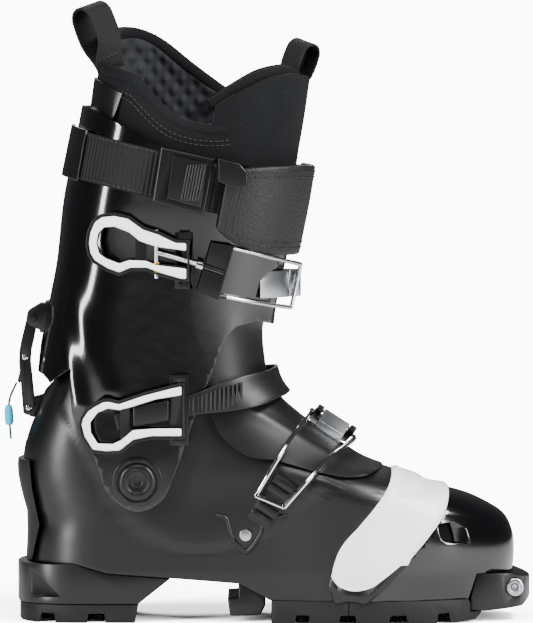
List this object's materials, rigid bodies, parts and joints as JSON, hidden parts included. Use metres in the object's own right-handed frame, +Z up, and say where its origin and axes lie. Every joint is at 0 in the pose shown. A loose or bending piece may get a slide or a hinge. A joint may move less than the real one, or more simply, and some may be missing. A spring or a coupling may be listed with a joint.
{
  "type": "alpine touring boot",
  "caption": "Ski touring boot with a hinged cuff, flexing toe bellows, lever buckles, a cam power strap and a walk mechanism.",
  "frame": {"origin": "bottom centre of the boot's bounding box, without its free cord, on the floor", "axes": "+X to the toe, +Z up, -Y to the outer side of a right foot"},
  "size_m": [0.318, 0.128, 0.3735],
  "materials": {
    "shell_black": "satin moulded plastic",
    "gloss_black": "polished moulded plastic",
    "tongue_grey": "matte moulded plastic",
    "white_plastic": "satin elastomer",
    "white_lever": "painted forging",
    "foam": "moulded foam",
    "bush_plastic": "turned plastic",
    "liner_fabric": "woven fabric on foam",
    "webbing": "ribbed webbing",
    "pad_leather": "synthetic leather",
    "sole_rubber": "matte rubber",
    "hardware_black": "satin black",
    "strap_plastic": "satin flexible plastic",
    "steel": "brushed",
    "chrome": "polished",
    "cord": "thin cord",
    "cyan_plastic": "gloss plastic"
  },
  "bodies": {
    "shell": {"rear_shell": "shell_black", "toe_bellows": "white_plastic", "shell_tongue": "tongue_grey", "boot_board": "foam", "footbed": "foam", "liner_foot": "liner_fabric", "pivot_bush_lateral": "bush_plastic", "pivot_bush_medial": "bush_plastic", "pivot_bolt_lateral": "hardware_black", "pivot_bolt_medial": "hardware_black", "heel_block": "shell_black", "heel_outsole": "sole_rubber", "forefoot_outsole": "sole_rubber", "second_heel": "hardware_black", "heel_rand": "sole_rubber", "instep_buckle_base": "steel", "instep_lever_pin": "steel", "instep_rack": "hardware_black", "instep_rivet": "hardware_black", "walk_lug": "hardware_black"},
    "toe": {"toe_shell": "gloss_black", "toe_outsole": "sole_rubber", "toe_block": "hardware_black", "tech_insert_lateral": "steel", "tech_insert_medial": "steel"},
    "cuff": {"cuff": "gloss_black", "rear_spoiler": "shell_black", "liner_cuff": "liner_fabric", "liner_tongue": "liner_fabric", "rear_pull_loop": "webbing", "front_pull_loop": "webbing", "cuff_buckle_base": "hardware_black", "cuff_catch": "steel", "ankle_buckle_base": "hardware_black", "ankle_ladder_strap": "strap_plastic", "ankle_ratchet": "hardware_black", "ankle_strap_anchor": "steel", "power_strap": "webbing", "strap_keeper": "hardware_black", "strap_cam_frame": "hardware_black", "strap_cam_pin": "steel", "power_strap_pad": "pad_leather", "strap_hook": "hardware_black", "walk_bracket": "hardware_black"},
    "cuff_lever": {"cuff_lever": "white_lever"},
    "cuff_bail": {"cuff_rod": "chrome", "cuff_bail": "steel"},
    "ankle_lever": {"ankle_lever": "white_lever"},
    "instep_lever": {"instep_lever": "hardware_black"},
    "instep_bail": {"instep_bail": "chrome"},
    "strap_cam": {"strap_cam": "hardware_black"},
    "walk_link": {"walk_link": "hardware_black", "walk_link_pin": "steel", "walk_latch_pin": "steel", "walk_spring": "chrome"},
    "walk_latch": {"walk_latch": "steel", "walk_cord": "cord", "walk_bead": "cyan_plastic"}
  },
  "joints": [
    {"name": "toe_flex", "type": "hinge", "parent": "shell", "child": "toe", "pos_m": [0.045, 0.00399, 0.014], "axis": [0, -1, 0], "range_deg": [0, 20], "stiffness_Nm_per_rad": 12, "deforming": ["toe_bellows", "liner_foot", "footbed"]},
    {"name": "cuff_flex", "type": "hinge", "parent": "shell", "child": "cuff", "pos_m": [-0.0816, 0.00399, 0.0858], "axis": [0, 1, 0], "range_deg": [-10, 12], "stiffness_Nm_per_rad": 14, "deforming": ["liner_cuff", "liner_tongue", "shell_tongue", "ankle_ladder_strap"]},
    {"name": "walk_link_turn", "type": "hinge", "parent": "shell", "child": "walk_link", "pos_m": [-0.1482, 0.00399, 0.1272], "axis": [0, 1, 0], "range_deg": [-17.2, 20.6]},
    {"name": "walk_latch_pull", "type": "hinge", "parent": "walk_link", "child": "walk_latch", "pos_m": [-0.1504, 0.00399, 0.1578], "axis": [0, 1, 0], "range_deg": [0, 22], "stiffness_Nm_per_rad": 0.02},
    {"name": "cuff_lever_open", "type": "hinge", "parent": "cuff", "child": "cuff_lever", "pos_m": [-0.053, -0.05428, 0.218], "axis": [0, 0, 1], "range_deg": [0, 100]},
    {"name": "cuff_bail_turn", "type": "hinge", "parent": "cuff_lever", "child": "cuff_bail", "pos_m": [-0.07, -0.05428, 0.218], "axis": [0, 0, 1], "range_deg": [-140, 0]},
    {"name": "ankle_lever_open", "type": "hinge", "parent": "cuff", "child": "ankle_lever", "pos_m": [-0.056, -0.05441, 0.128], "axis": [0, 0, 1], "range_deg": [0, 100]},
    {"name": "instep_lever_open", "type": "hinge", "parent": "shell", "child": "instep_lever", "pos_m": [0.03785, 0.00099, 0.12008], "axis": [0.8425, 0, -0.5388], "range_deg": [0, 95]},
    {"name": "instep_bail_turn", "type": "hinge", "parent": "instep_lever", "child": "instep_bail", "pos_m": [0.03591, 0.01348, 0.11706], "axis": [0.8425, 0, -0.5388], "range_deg": [-133, 0]},
    {"name": "strap_cam_open", "type": "hinge", "parent": "cuff", "child": "strap_cam", "pos_m": [-0.06, -0.06222, 0.268], "axis": [-0.1318, 0, -0.9913], "range_deg": [0, 70]}
  ],
  "couplings": [
    {"joint": "walk_link_turn", "follows": "cuff_flex", "ratio": 1.7},
    {"joint": "cuff_bail_turn", "follows": "cuff_lever_open", "ratio": -1.35},
    {"joint": "instep_bail_turn", "follows": "instep_lever_open", "ratio": -1.35}
  ]
}
